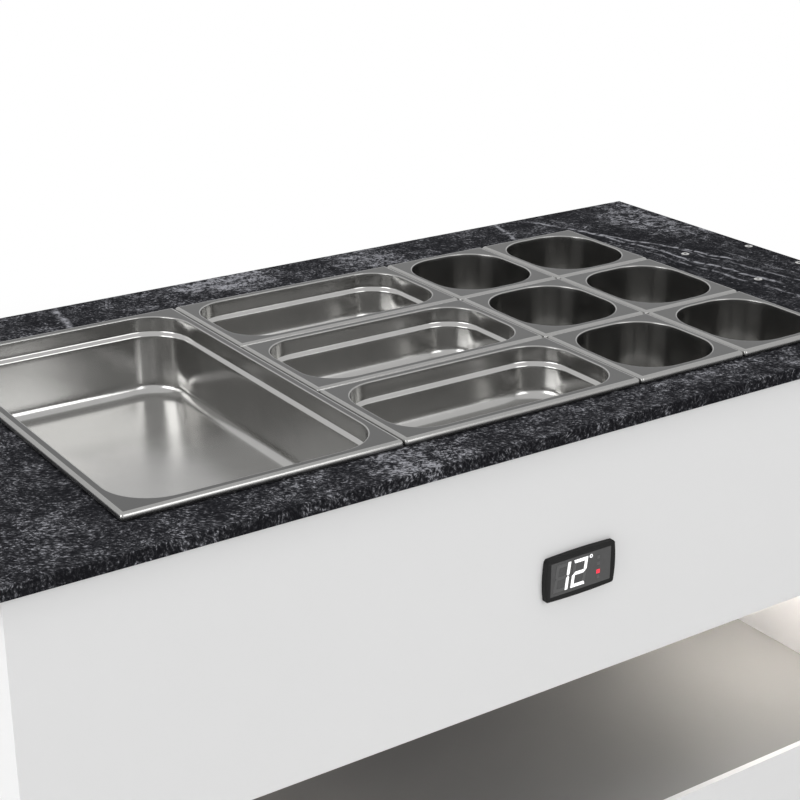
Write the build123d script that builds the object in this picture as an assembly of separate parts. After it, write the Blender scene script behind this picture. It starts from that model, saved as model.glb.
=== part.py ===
from build123d import *
import os

# Refrigerated buffet island, in millimetres.
# The origin is on the floor under the middle of the worktop, X along its length and Y to its back.

# Worktop: one slab of dark stone
top_height = 900.0
top_thickness = 15.0
top_arris = 1.0
end_overhang = 49.5
front_overhang = 10.0

# Bolt holes in the worktop's right end, for the post of a guard
bolt_hole_radius = 2.75
inner_bolt_reach = 114.0
inner_bolt_spacing = 144.0
outer_bolt_reach = 11.5
outer_bolt_spacing = 99.0

# Pan spaces: three full gastronorm spaces side by side
space_x = 325.0
space_y = 530.0
pans_forward = 24.0
rim_height = 9.0
rim_gap = 1.0
rim_cut = 4.0
pan_sheet = 1.2
shoulder_drop = 22.0
shoulder_step = 3.5
full_depth = 100.0
full_flange = 13.0
full_corner = 55.0
third_depth = 65.0
third_flange = 13.0
third_corner = 48.0
sixth_depth = 100.0
sixth_flange_x = 10.0
sixth_flange_y = 12.0
sixth_corner = 56.0

# Cold well under the pans
seat_width = 4.0
cut_corner = 6.0
ledge_x = 3.0
ledge_y = 5.0
well_depth = 170.0
well_cut = 20.0
well_sheet = 1.2
foam_wall = 41.3
foam_floor = 45.0
casing_sheet = 1.0
bar_width = 12.0
bar_sheet = 1.5
bar_clearance = 0.5

# Roll-bond evaporator plate under the well's floor
plate_front_gap = 54.0
plate_end_gap = 60.0
plate_margin = 10.0
plate_sheet = 1.5
channel_width = 10.0
channel_height = 4.0
channel_runs = 12

# Probe on the well's back wall
probe_length = 60.0
probe_height = 18.0
probe_reach = 12.0
probe_wall = 2.0
probe_slots = 3
probe_x = -300.0
probe_lift = 30.0

# Drain
drain_inset_x = 32.0
drain_inset_y = 82.0
drain_radius = 16.0
drain_bore = 13.0
drain_flange = 56.0
drain_flange_thickness = 2.0
drain_clearance = 0.3
pass_clearance = 0.5
strainer_side = 48.0
strainer_thickness = 2.0
strainer_slot = 4.0
strainer_slots = 3
valve_lift = 45.0
valve_across_flats = 50.0
valve_length = 56.0
tail_across_flats = 30.0
boss_side = 20.0
boss_length = 8.0
spindle_radius = 5.0
spindle_depth = 12.0
spindle_clearance = 0.08
lever_length = 100.0
lever_width = 16.0
lever_sheet = 4.0
outfall_height = 60.0

# Body boards and steel chassis
fascia_board = 8.0
end_board = 18.0
tube_side = 30.0
tube_wall = 2.0
pipe_space = 55.5

# Open niche under the front fascia
ceiling_gap = 56.0
ceiling_board = 12.0
ceiling_lift = 20.0
niche_depth = 300.0
back_board = 12.0
shelf_height = 350.0
shelf_board = 18.0
post_clearance = 0.5
lamp_gap = 15.0
lamp_width = 22.0
lamp_height = 12.0
lamp_wall = 2.0
lamp_inset = 40.0
diffuser_thickness = 2.0

# Base, plinth and levelling feet
base_height = 100.0
base_sheet = 3.0
plinth_recess = 50.0
plinth_board = 12.0
plinth_lift = 12.0
foot_gap = 15.0
foot_side = 46.0
foot_pad_height = 10.0
leg_side = 25.0
leg_clearance = 0.08
socket_wall = 2.0
socket_height = 60.0

# Back service panel with its louvres
panel_joint = 3.0
panel_sheet = 1.5
louvre_rows = 6
louvre_pitch = 34.0
louvre_gap = 30.0
louvre_height = 14.0
louvre_reach = 6.0
louvre_sheet = 1.5
louvre_lift = 40.0

# Controller in the front fascia
controller_x = 36.5
controller_drop = 162.6
bezel_length = 101.0
bezel_height = 55.0
bezel_bow = 2.0
bezel_corner = 5.0
bezel_reach = 7.0
bezel_margin = 6.0
window_recess = 1.6
window_sheet = 1.2
window_clearance = 0.2
case_length = 71.0
case_height = 29.0
case_gap = 4.0
case_clearance = 0.5
clip_reach = 12.0
clip_length = 20.0

# Condensing unit on the base, behind the niche
compressor_gap = 19.5
compressor_radius = 70.0
compressor_height = 175.0
suction_offset_x = 20.0
suction_offset_y = 45.0
sole_length = 190.0
sole_width = 130.0
sole_sheet = 3.0
rubber_side = 26.0
rubber_height = 14.0
terminal_length = 62.0
terminal_reach = 26.0
terminal_height = 60.0
condenser_x = -20.0
condenser_length = 320.0
condenser_height = 250.0
condenser_depth = 45.0
condenser_gap = 14.0
condenser_frame = 12.0
fin_sheet = 4.0
fin_count = 12
shroud_depth = 30.0
shroud_sheet = 1.5
orifice_margin = 15.0
orifice_sides = 16
fan_tip_gap = 6.0
fan_hub_radius = 28.0
fan_hub_sides = 8
fan_hub_length = 26.0
fan_blades = 4
blade_chord = 72.0
blade_sheet = 2.0
blade_pitch = 24.0
shaft_radius = 4.0
shaft_clearance = 0.08
shaft_depth = 30.0
motor_side = 76.0
motor_length = 60.0
motor_gap = 8.0
strap_width = 24.0
strap_sheet = 3.0
strap_landing = 15.0
pipe_radius = 4.0
discharge_rise = 30.0
drier_radius = 11.0
drier_length = 150.0
drier_lift = 140.0
liquid_height = 60.0
box_gap = 20.0
lever_gap = 15.0
box_length = 180.0
box_depth = 90.0
box_height = 200.0
lid_sheet = 4.0
lid_margin = 3.0

# Cable gland in the service panel
gland_mouth = 11.0
gland_mouth_depth = 4.0
gland_across_flats = 22.0
gland_reach = 5.0
gland_inside = 14.0
gland_shank = 14.0
gland_lift = 50.0

# The well, from the pans outwards
half_space = space_x / 2
third_space = space_y / 3
cut_x = 3 * space_x - 2 * seat_width
cut_y = space_y - 2 * seat_width
well_x = cut_x - 2 * ledge_x
well_y = cut_y - 2 * ledge_y
well_middle = -pans_forward
well_front = well_middle - well_y / 2
well_back = well_middle + well_y / 2
casing_x = well_x / 2 + well_sheet + foam_wall + casing_sheet
casing_y = well_y / 2 + well_sheet + foam_wall + casing_sheet
top_under = top_height - top_thickness
well_floor = top_under - well_depth
floor_under = well_floor - well_sheet
plate_under = floor_under - plate_sheet
channel_under = plate_under - channel_height
casing_low = floor_under - foam_floor - casing_sheet
drain_x = well_x / 2 - drain_inset_x
drain_y = well_back - drain_inset_y

# The body round the well, and the worktop over it
inner_x = casing_x + pipe_space + tube_side
inner_y = casing_y + tube_side
body_end = inner_x + end_board
body_back = inner_y + fascia_board
body_front = -body_back
top_length = 2 * (body_end + end_overhang)
top_depth = 2 * (body_back + front_overhang)
rail_low = top_under - tube_side
ceiling_top = casing_low - ceiling_gap
ceiling_under = ceiling_top - ceiling_board
fascia_low = ceiling_under - ceiling_lift
base_top = base_height + base_sheet
shelf_under = shelf_height - shelf_board
niche_back_face = -inner_y + niche_depth
niche_rear = niche_back_face + back_board
controller_height = top_under - controller_drop
gland_height = base_height + gland_lift
bolt_places = [
    (top_length / 2 - reach, side * spacing / 2)
    for reach, spacing in ((inner_bolt_reach, inner_bolt_spacing), (outer_bolt_reach, outer_bolt_spacing))
    for side in (-1, 1)
]

# The refrigerant circuit, from the compressor up to the evaporator plate
plate_end = drain_x - drain_radius - plate_end_gap
plate_front = well_front + plate_front_gap
compressor_y = inner_y - compressor_gap - compressor_radius
line_y = compressor_y - suction_offset_y
channel_back = line_y + channel_width / 2
channel_front = plate_front + plate_margin
channel_reach = plate_end - plate_margin - channel_width / 2
channel_pitch = 2 * channel_reach / (channel_runs - 1)
channel_xs = [k * channel_pitch - channel_reach for k in range(channel_runs)]
suction_x = channel_xs[0]
liquid_x = channel_xs[-1]
compressor_x = suction_x + suction_offset_x
box_x = liquid_x + drier_radius + box_gap + box_length / 2
louvre_length = condenser_x - compressor_x - louvre_gap


def block(x, y, z):
    """A box between two limits along each axis."""
    limits = (x, y, z)
    size = [high - low for low, high in limits]
    middle = [(high + low) / 2 for low, high in limits]
    return Pos(*middle) * Box(*size)


def post(x, y, low, high, radius):
    """A round bar standing between two heights."""
    return Pos(x, y, (low + high) / 2) * Cylinder(radius, high - low)


def bar_y(x, z, near, far, radius):
    """A round bar lying along Y between two depths."""
    return Pos(x, (near + far) / 2, z) * Rot(X=90) * Cylinder(radius, far - near)


def hexagon(across_flats):
    """A regular hexagon by the distance between its flats."""
    return RegularPolygon(across_flats / 2, 6, major_radius=False)


def cut_rectangle(size_x, size_y, cut):
    """A rectangle with its four corners cut at 45 degrees."""
    outline = Rectangle(size_x, size_y)
    return chamfer(outline.vertices(), cut)


def offset_cut(cut, wall):
    """The corner cut of the outline that lies one wall inside."""
    return cut - (2 - 2**0.5) * wall


def worktop():
    """Stone slab, cut out over the well and drilled for the guard's bolts."""
    half_x = top_length / 2
    half_y = top_depth / 2
    slab = block((-half_x, half_x), (-half_y, half_y), (top_under, top_height))
    slab = chamfer(slab.faces().sort_by(Axis.Z)[-1].edges(), top_arris)
    cut_out = RectangleRounded(cut_x, cut_y, cut_corner)
    slab -= Pos(0, well_middle, top_under) * extrude(cut_out, top_thickness)
    for x, y in bolt_places:
        slab -= post(x, y, top_under, top_height, bolt_hole_radius)
    return slab


def pan_well(mouth_x, mouth_y, corner, deep, step, skin):
    """The inside of a pan, or its outside when a skin is given, hung from the rim's top."""
    grow = 2 * (skin - step)
    body = RectangleRounded(mouth_x + grow, mouth_y + grow, corner + skin - step)
    well = Pos(0, 0, rim_height) * extrude(body, -deep - skin)
    if step > 0:
        band = RectangleRounded(mouth_x + 2 * skin, mouth_y + 2 * skin, corner + skin)
        well += Pos(0, 0, rim_height) * extrude(band, -shoulder_drop - skin)
    return well


def pan(size_x, size_y, deep, flange_x, flange_y, corner, step):
    """A drawn steel pan: turned-down rim, flat flange, rounded mouth and stacking shoulder."""
    outer_x = size_x - rim_gap
    outer_y = size_y - rim_gap
    rim = extrude(cut_rectangle(outer_x, outer_y, rim_cut), rim_height)
    hollow = cut_rectangle(outer_x - 2 * pan_sheet, outer_y - 2 * pan_sheet, offset_cut(rim_cut, pan_sheet))
    rim -= extrude(hollow, rim_height - pan_sheet)
    mouth = (size_x - 2 * flange_x, size_y - 2 * flange_y, corner, deep, step)
    return rim + pan_well(*mouth, pan_sheet) - pan_well(*mouth, 0)


def pans():
    """One full pan, three thirds and six sixths, each hung by its rim on the worktop and the bars."""
    rows = {"front": well_middle - third_space, "middle": well_middle, "back": well_middle + third_space}
    full = pan(space_x, space_y, full_depth, full_flange, full_flange, full_corner, shoulder_step)
    third = pan(space_x, third_space, third_depth, third_flange, third_flange, third_corner, 0)
    sixth = pan(half_space, third_space, sixth_depth, sixth_flange_x, sixth_flange_y, sixth_corner, 0)
    out = {"pan_full": Pos(-space_x, well_middle, top_height) * full}
    for row, y in rows.items():
        out[f"pan_third_{row}"] = Pos(0, y, top_height) * third
        for column, x in (("left", space_x - half_space / 2), ("right", space_x + half_space / 2)):
            out[f"pan_sixth_{column}_{row}"] = Pos(x, y, top_height) * sixth
    return out


def adaptor_bar(x):
    """Folded channel across the well that carries the rims of the pans on its two sides."""
    half = bar_width / 2
    reach = cut_y / 2 - bar_clearance
    across = (well_middle - reach, well_middle + reach)
    bar = block((x - half, x + half), across, (top_under, top_height))
    inside = (x - half + bar_sheet, x + half - bar_sheet)
    return bar - block(inside, across, (top_under, top_height - bar_sheet))


def well_outside():
    """The outside of the tub's walls, seen from above."""
    return cut_rectangle(well_x + 2 * well_sheet, well_y + 2 * well_sheet, well_cut)


def well_liner():
    """Welded steel tub with bevelled corners, its flange under the stone and its ledge inside the cut-out."""
    flange_x = casing_x - casing_sheet
    flange_y = casing_y - casing_sheet
    flange = block((-flange_x, flange_x), (-flange_y, flange_y), (top_under - well_sheet, top_under))
    tub = flange + Pos(0, well_middle, floor_under) * extrude(well_outside(), top_under - floor_under)
    inside = cut_rectangle(well_x, well_y, offset_cut(well_cut, well_sheet))
    tub -= Pos(0, well_middle, well_floor) * extrude(inside, well_depth)
    return tub - post(drain_x, drain_y, floor_under, well_floor, drain_radius + drain_clearance)


def evaporator_plate():
    """Roll-bond plate against the well's floor, with its channel folded to and fro underneath."""
    half = channel_width / 2
    plate_back = channel_back + plate_margin
    plate = block((-plate_end, plate_end), (plate_front, plate_back), (plate_under, floor_under))
    depth = (channel_under, plate_under)
    for x in channel_xs:
        plate += block((x - half, x + half), (channel_front, channel_back), depth)
    for k in range(channel_runs - 1):
        at_front = (channel_front, channel_front + channel_width)
        at_back = (channel_back - channel_width, channel_back)
        turn = at_front if k % 2 == 0 else at_back
        plate += block((channel_xs[k], channel_xs[k + 1]), turn, depth)
    return plate


def floor_holes(low, high):
    """Square holes where the drain and the two refrigerant lines pass through the well's floor."""
    drain = (drain_x, drain_y, drain_radius)
    holes = []
    for x, y, radius in (drain, (suction_x, line_y, pipe_radius), (liquid_x, line_y, pipe_radius)):
        half = radius + pass_clearance
        holes.append(block((x - half, x + half), (y - half, y + half), (low, high)))
    return holes


def well_insulation():
    """Foam between the tub and its casing, round the evaporator plate."""
    half_x = casing_x - casing_sheet
    half_y = casing_y - casing_sheet
    low = casing_low + casing_sheet
    foam = block((-half_x, half_x), (-half_y, half_y), (low, top_under - well_sheet))
    foam -= Pos(0, well_middle, floor_under) * extrude(well_outside(), top_under - floor_under)
    return foam - evaporator_plate() - floor_holes(low, floor_under)


def well_casing():
    """Galvanised box round the foam, screwed between the chassis rails."""
    box = block((-casing_x, casing_x), (-casing_y, casing_y), (casing_low, top_under))
    in_x = casing_x - casing_sheet
    in_y = casing_y - casing_sheet
    box -= block((-in_x, in_x), (-in_y, in_y), (casing_low + casing_sheet, top_under))
    return box - floor_holes(casing_low, casing_low + casing_sheet)


def temperature_probe():
    """Slotted cage of the air probe on the well's back wall."""
    low = well_floor + probe_lift
    left = probe_x - probe_length / 2
    cage = block((left, left + probe_length), (well_back - probe_reach, well_back), (low, low + probe_height))
    bay = (probe_length - probe_wall) / probe_slots
    for k in range(probe_slots):
        start = left + probe_wall + k * bay
        opening = (low + probe_wall, low + probe_height - probe_wall)
        across = (start, start + bay - probe_wall)
        cage -= block(across, (well_back - probe_reach, well_back - probe_wall), opening)
    return cage


valve_low = base_top + valve_lift
valve_top = valve_low + valve_length
valve_middle = (valve_top + valve_low) / 2
boss_near = drain_y + valve_across_flats / 2
boss_far = boss_near + boss_length


def drain_outlet():
    """Flanged pipe from the well's floor down to the valve."""
    half = drain_flange / 2
    top = well_floor + drain_flange_thickness
    pipe = post(drain_x, drain_y, valve_top, top, drain_radius)
    pipe += block((drain_x - half, drain_x + half), (drain_y - half, drain_y + half), (well_floor, top))
    return pipe - post(drain_x, drain_y, valve_top, top, drain_bore)


def drain_strainer():
    """Slotted plate over the drain."""
    half = strainer_side / 2
    low = well_floor + drain_flange_thickness
    level = (low, low + strainer_thickness)
    plate = block((drain_x - half, drain_x + half), (drain_y - half, drain_y + half), level)
    for k in range(strainer_slots):
        x = drain_x + (k - (strainer_slots - 1) / 2) * 2 * strainer_slot
        slot = (x - strainer_slot / 2, x + strainer_slot / 2)
        plate -= block(slot, (drain_y - drain_bore, drain_y + drain_bore), level)
    return plate


def spindle(radius):
    """The lever's spindle, or its bore in the valve's boss."""
    return bar_y(drain_x, valve_middle, boss_far - spindle_depth, boss_far, radius)


def drain_valve():
    """Hexagonal ball valve, its tail through the base and a boss that its spindle turns in."""
    tail_length = valve_low - outfall_height
    body = Pos(drain_x, drain_y, valve_low) * extrude(Rot(Z=30) * hexagon(valve_across_flats), valve_length)
    body += Pos(drain_x, drain_y, outfall_height) * extrude(hexagon(tail_across_flats), tail_length)
    half = boss_side / 2
    boss_level = (valve_middle - half, valve_middle + half)
    body += block((drain_x - half, drain_x + half), (drain_y, boss_far), boss_level)
    return body - spindle(spindle_radius + spindle_clearance)


def drain_lever():
    """Quarter-turn lever with its spindle, level when the valve is shut."""
    arm = block(
        (drain_x - lever_width / 2, drain_x + lever_length),
        (boss_far, boss_far + lever_sheet),
        (valve_middle - lever_width / 2, valve_middle + lever_width / 2),
    )
    return arm + spindle(spindle_radius)


def square_tube(x, y, z, along):
    """A square steel tube between limits, open along one axis."""
    inner = [list(x), list(y), list(z)]
    for axis in range(3):
        if axis != along:
            inner[axis] = [inner[axis][0] + tube_wall, inner[axis][1] - tube_wall]
    return block(x, y, z) - block(*inner)


def corner_limits(side, limit):
    """The two limits of a chassis tube set against an inner face."""
    return sorted((side * limit, side * (limit - tube_side)))


def chassis_posts():
    """Four corner posts from the base to the stone."""
    return [
        square_tube(corner_limits(sx, inner_x), corner_limits(sy, inner_y), (base_top, top_under), 2)
        for sx in (-1, 1)
        for sy in (-1, 1)
    ]


def chassis_rails():
    """Top rails between the posts, under the stone."""
    between_x = (-inner_x + tube_side, inner_x - tube_side)
    between_y = (-inner_y + tube_side, inner_y - tube_side)
    level = (rail_low, top_under)
    rails = [square_tube(between_x, corner_limits(side, inner_y), level, 0) for side in (-1, 1)]
    rails += [square_tube(corner_limits(side, inner_x), between_y, level, 1) for side in (-1, 1)]
    return rails


foot_places = {
    "front_left": (-1, -1),
    "front_right": (1, -1),
    "back_left": (-1, 1),
    "back_right": (1, 1),
}


def foot_centre(sx, sy):
    """Where a foot stands, by the corner that it is at."""
    inset = plinth_recess + plinth_board + foot_gap + foot_side / 2
    return sx * (body_end - inset), sy * (body_back - inset)


def upright(x, y, side, low, high):
    """A square bar standing between two heights."""
    return block((x - side / 2, x + side / 2), (y - side / 2, y + side / 2), (low, high))


def base_plate():
    """Steel base with a hole for the drain's tail."""
    plate = block((-inner_x, inner_x), (-inner_y, inner_y), (base_height, base_top))
    across_corners = tail_across_flats * 2 / 3**0.5
    return plate - upright(drain_x, drain_y, across_corners + 2 * pass_clearance, base_height, base_top)


def foot_sockets():
    """Square sockets welded under the base, one for each foot's leg."""
    bore = leg_side + 2 * leg_clearance
    low = base_height - socket_height
    sockets = []
    for sx, sy in foot_places.values():
        x, y = foot_centre(sx, sy)
        tube = upright(x, y, bore + 2 * socket_wall, low, base_height)
        sockets.append(tube - upright(x, y, bore, low, base_height))
    return sockets


def foot(sx, sy):
    """Levelling foot: square pad on a leg that slides in the base's socket."""
    x, y = foot_centre(sx, sy)
    return upright(x, y, foot_side, 0, foot_pad_height) + upright(x, y, leg_side, 0, base_height)


def plinth():
    """Recessed boards round the base."""
    far_x = body_end - plinth_recess
    far_y = body_back - plinth_recess
    level = (plinth_lift, base_height)
    boards = []
    for side in (-1, 1):
        boards.append(block((-far_x, far_x), sorted((side * far_y, side * (far_y - plinth_board))), level))
        near_y = far_y - plinth_board
        boards.append(block(sorted((side * far_x, side * (far_x - plinth_board))), (-near_y, near_y), level))
    return boards


def fascia(side):
    """Deep board under the worktop's front or back edge."""
    return block((-body_end, body_end), sorted((side * body_back, side * inner_y)), (fascia_low, top_under))


def fascia_front():
    """Front fascia with the controller's cut-out."""
    half_x = case_length / 2 + case_clearance
    half_z = case_height / 2 + case_clearance
    hole = block(
        (controller_x - half_x, controller_x + half_x),
        (body_front, -inner_y),
        (controller_height - half_z, controller_height + half_z),
    )
    return fascia(-1) - hole


def end_panel(side):
    """Full-height board that closes an end."""
    return block(sorted((side * body_end, side * inner_x)), (-inner_y, inner_y), (base_height, top_under))


def lower_front_panel():
    """Board under the niche."""
    return block((-body_end, body_end), (body_front, -inner_y), (base_height, shelf_height))


def niche_board(depth_limits, level):
    """A level board between the end panels, notched round the front posts."""
    board = block((-inner_x, inner_x), depth_limits, level)
    for side in (-1, 1):
        near = inner_x - tube_side - post_clearance
        notch = sorted((side * near, side * inner_x))
        board -= block(notch, (-inner_y, -inner_y + tube_side + post_clearance), level)
    return board


def niche_shelf():
    """Shelf that glasses and plates stand on."""
    return niche_board((-inner_y, niche_rear), (shelf_under, shelf_height))


def niche_ceiling():
    """Board over the niche that hides the well."""
    return niche_board((-inner_y, niche_rear), (ceiling_under, ceiling_top))


def niche_back():
    """Upright board at the back of the niche."""
    return block((-inner_x, inner_x), (niche_back_face, niche_rear), (shelf_height, ceiling_under))


def lamp_limits(side):
    """The plan limits of a lamp against the ceiling, near one end of the niche."""
    far = inner_x - tube_side - lamp_inset + lamp_width
    x = sorted((side * far, side * (far - lamp_width)))
    return x, (-inner_y + tube_side + lamp_gap, niche_back_face - lamp_gap)


def lamp_profiles():
    """Extruded channels for the light strips, one near each end of the niche."""
    out = []
    for side in (-1, 1):
        x, y = lamp_limits(side)
        level = (ceiling_under - lamp_height, ceiling_under)
        inside = (x[0] + lamp_wall, x[1] - lamp_wall)
        hollow = block(inside, y, (level[0], level[1] - lamp_wall))
        out.append(block(x, y, level) - hollow)
    return out


def lamp_diffusers():
    """Opal strips clipped into the channels' mouths."""
    out = []
    for side in (-1, 1):
        x, y = lamp_limits(side)
        low = ceiling_under - lamp_height
        out.append(block((x[0] + lamp_wall, x[1] - lamp_wall), y, (low, low + diffuser_thickness)))
    return out


def louvre(x, z, grow):
    """One pressed hood that opens downwards, or its hollow when it is shrunk by the sheet."""
    reach = louvre_reach - grow
    height = louvre_height * reach / louvre_reach
    section = Polyline((body_back, z), (body_back + reach, z), (body_back, z + height), close=True)
    hood = extrude(Plane.YZ * make_face(section), louvre_length / 2 - grow, both=True)
    return Pos(x, 0, 0) * hood


def gland_square(side, near, far):
    """A square bar along Y where the gland passes through the panel."""
    half = side / 2
    return block((box_x - half, box_x + half), (near, far), (gland_height - half, gland_height + half))


def service_panel():
    """Folded steel panel at the back, louvred in front of the condenser and of the compressor."""
    high = fascia_low - panel_joint
    panel = block((-body_end, body_end), (inner_y, body_back), (base_height, high))
    inside = (-body_end + panel_sheet, body_end - panel_sheet)
    level = (base_height + panel_sheet, high - panel_sheet)
    panel -= block(inside, (inner_y, body_back - panel_sheet), level)
    half = louvre_length / 2 - louvre_sheet
    slot_height = louvre_height * (louvre_reach - louvre_sheet) / louvre_reach
    for x in (condenser_x, compressor_x):
        for row in range(louvre_rows):
            z = base_height + louvre_lift + row * louvre_pitch
            panel += louvre(x, z, 0)
            panel -= louvre(x, z, louvre_sheet)
            panel -= block((x - half, x + half), (body_back - panel_sheet, body_back), (z, z + slot_height))
    return panel - gland_square(gland_shank + 2 * pass_clearance, body_back - panel_sheet, body_back)


def cable_gland():
    """Gland for the mains lead: hexagonal head outside, square shank through the panel."""
    inside = body_back - panel_sheet - gland_inside
    face = Pos(box_x, body_back + gland_reach, gland_height)
    gland = face * extrude(Plane.XZ * hexagon(gland_across_flats), gland_reach)
    gland += gland_square(gland_shank, inside, body_back)
    return gland - face * extrude(Plane.XZ * hexagon(gland_mouth), gland_mouth_depth)


def bowed_outline(length, height):
    """A rectangle whose four sides bow out a little, rounded at the corners."""
    half_x = length / 2 - bezel_bow
    half_z = height / 2 - bezel_bow
    outline = [
        ThreePointArc((-half_x, -half_z), (0, -height / 2), (half_x, -half_z)),
        ThreePointArc((half_x, -half_z), (length / 2, 0), (half_x, half_z)),
        ThreePointArc((half_x, half_z), (0, height / 2), (-half_x, half_z)),
        ThreePointArc((-half_x, half_z), (-length / 2, 0), (-half_x, -half_z)),
    ]
    face = make_face(outline)
    return fillet(face.vertices(), bezel_corner)


def window(clearance, depth_limits):
    """The window's place in the bezel, less a clearance all round."""
    half_x = bezel_length / 2 - bezel_margin - clearance
    half_z = bezel_height / 2 - bezel_margin - clearance
    return block(
        (controller_x - half_x, controller_x + half_x),
        depth_limits,
        (controller_height - half_z, controller_height + half_z),
    )


def controller_bezel():
    """Front frame of the controller, standing on the fascia, recessed for its window."""
    front = body_front - bezel_reach
    place = Pos(controller_x, body_front, controller_height)
    bezel = place * extrude(Plane.XZ * bowed_outline(bezel_length, bezel_height), bezel_reach)
    return bezel - window(0, (front, front + window_recess))


def controller_window():
    """Smoked window over the display, seated in the bezel's recess."""
    back = body_front - bezel_reach + window_recess
    return window(window_clearance, (back - window_sheet, back))


def controller_case():
    """Housing of the electronics, through the fascia."""
    half_x = case_length / 2
    half_z = case_height / 2
    return block(
        (controller_x - half_x, controller_x + half_x),
        (body_front, -casing_y - case_gap),
        (controller_height - half_z, controller_height + half_z),
    )


def controller_clips():
    """Two brackets that slide along the case and draw the bezel to the fascia."""
    out = []
    for side in (-1, 1):
        near = controller_x + side * case_length / 2
        x = sorted((near, near + side * clip_reach))
        half = case_height / 2
        level = (controller_height - half / 2, controller_height + half / 2)
        bracket = block(x, (-inner_y, -inner_y + clip_length), level)
        cut = sorted((near + side * clip_reach / 2, near + side * clip_reach))
        out.append(bracket - block(cut, (-inner_y + clip_length / 2, -inner_y + clip_length), level))
    return out


sole_low = base_top + rubber_height
shell_low = sole_low + sole_sheet
shell_top = shell_low + compressor_height


def compressor():
    """Hermetic compressor: round shell on its sole plate, with the terminal cover."""
    body = post(compressor_x, compressor_y, shell_low, shell_top, compressor_radius)
    half_x = sole_length / 2
    half_y = sole_width / 2
    body += block(
        (compressor_x - half_x, compressor_x + half_x),
        (compressor_y - half_y, compressor_y + half_y),
        (sole_low, shell_low),
    )
    side = compressor_x - compressor_radius
    middle = shell_low + compressor_height / 2
    body += block(
        (side - terminal_reach, compressor_x),
        (compressor_y - terminal_length / 2, compressor_y + terminal_length / 2),
        (middle - terminal_height / 2, middle + terminal_height / 2),
    )
    return body


def compressor_rubbers():
    """Rubber blocks under the sole's corners."""
    out = []
    for sx in (-1, 1):
        for sy in (-1, 1):
            x = compressor_x + sx * (sole_length - rubber_side) / 2
            y = compressor_y + sy * (sole_width - rubber_side) / 2
            half = rubber_side / 2
            out.append(block((x - half, x + half), (y - half, y + half), (base_top, sole_low)))
    return out


condenser_back = inner_y - condenser_gap
condenser_front = condenser_back - condenser_depth
condenser_low = base_top
condenser_left = condenser_x - condenser_length / 2
condenser_right = condenser_x + condenser_length / 2
fan_height = condenser_low + condenser_height / 2
orifice_radius = condenser_height / 2 - orifice_margin
fan_radius = orifice_radius - fan_tip_gap


def condenser():
    """Finned block in its frame, the fins upright between the top and bottom rails."""
    pack = block(
        (condenser_left, condenser_right),
        (condenser_front, condenser_back),
        (condenser_low, condenser_low + condenser_height),
    )
    span = condenser_length - 2 * condenser_frame
    pitch = (span + fin_sheet) / (fin_count + 1)
    level = (condenser_low + condenser_frame, condenser_low + condenser_height - condenser_frame)
    for k in range(fin_count + 1):
        left = condenser_left + condenser_frame + k * pitch
        pack -= block((left, left + pitch - fin_sheet), (condenser_front, condenser_back), level)
    return pack


shroud_front = condenser_front - shroud_depth


def fan_shroud():
    """Sheet box on the condenser with the orifice for the fan."""
    level = (condenser_low, condenser_low + condenser_height)
    box = block((condenser_left, condenser_right), (shroud_front, condenser_front), level)
    box -= block(
        (condenser_left + shroud_sheet, condenser_right - shroud_sheet),
        (shroud_front + shroud_sheet, condenser_front),
        (level[0] + shroud_sheet, level[1] - shroud_sheet),
    )
    orifice = Plane.XZ * RegularPolygon(orifice_radius, orifice_sides, major_radius=False)
    return box - Pos(condenser_x, condenser_front, fan_height) * extrude(orifice, shroud_depth)


hub_far = shroud_front + fan_hub_length / 2
hub_near = hub_far - fan_hub_length
motor_far = hub_near - motor_gap
motor_near = motor_far - motor_length


def shaft(far, radius):
    """The fan's shaft, or its bore in the motor."""
    return bar_y(condenser_x, fan_height, motor_far - shaft_depth, far, radius)


def fan_rotor():
    """Pressed fan on its shaft: pitched blades whose corners keep to one round sweep."""
    half_chord = blade_chord / 2
    reach = (fan_radius**2 - half_chord**2) ** 0.5
    blade = Pos(reach / 2, 0, 0) * Rot(X=blade_pitch) * Box(reach, blade_chord, blade_sheet)
    hub = RegularPolygon(fan_hub_radius, fan_hub_sides)
    fan = extrude(hub, fan_hub_length / 2, both=True)
    for k in range(fan_blades):
        fan += Rot(Z=360 / fan_blades * k) * blade
    rotor = Pos(condenser_x, (hub_near + hub_far) / 2, fan_height) * Rot(X=90) * fan
    return rotor + shaft(hub_far, shaft_radius)


def fan_motor():
    """Square motor on a strap that is screwed to the shroud."""
    half = motor_side / 2
    level = (fan_height - half, fan_height + half)
    motor = block((condenser_x - half, condenser_x + half), (motor_near, motor_far), level)
    half_span = orifice_radius + strap_landing
    strap = (fan_height - strap_width / 2, fan_height + strap_width / 2)
    ends = (condenser_x - half_span, condenser_x + half_span)
    motor += block(ends, (motor_near - strap_sheet, motor_near), strap)
    for side in (-1, 1):
        edge = condenser_x + side * half_span
        leg = sorted((edge, edge - side * strap_sheet))
        motor += block(leg, (motor_near - strap_sheet, shroud_front), strap)
    return motor - shaft(motor_far, shaft_radius + shaft_clearance)


drier_low = base_top + drier_lift
drier_top = drier_low + drier_length


def filter_drier():
    """Upright drier in the liquid line."""
    return post(liquid_x, line_y, drier_low, drier_top, drier_radius)


def pipe(*points):
    """A copper pipe along straight runs, mitred at its elbows."""
    route = Polyline(*points)
    return sweep(Plane(route @ 0, z_dir=route % 0) * Circle(pipe_radius), route, transition=Transition.RIGHT)


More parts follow.
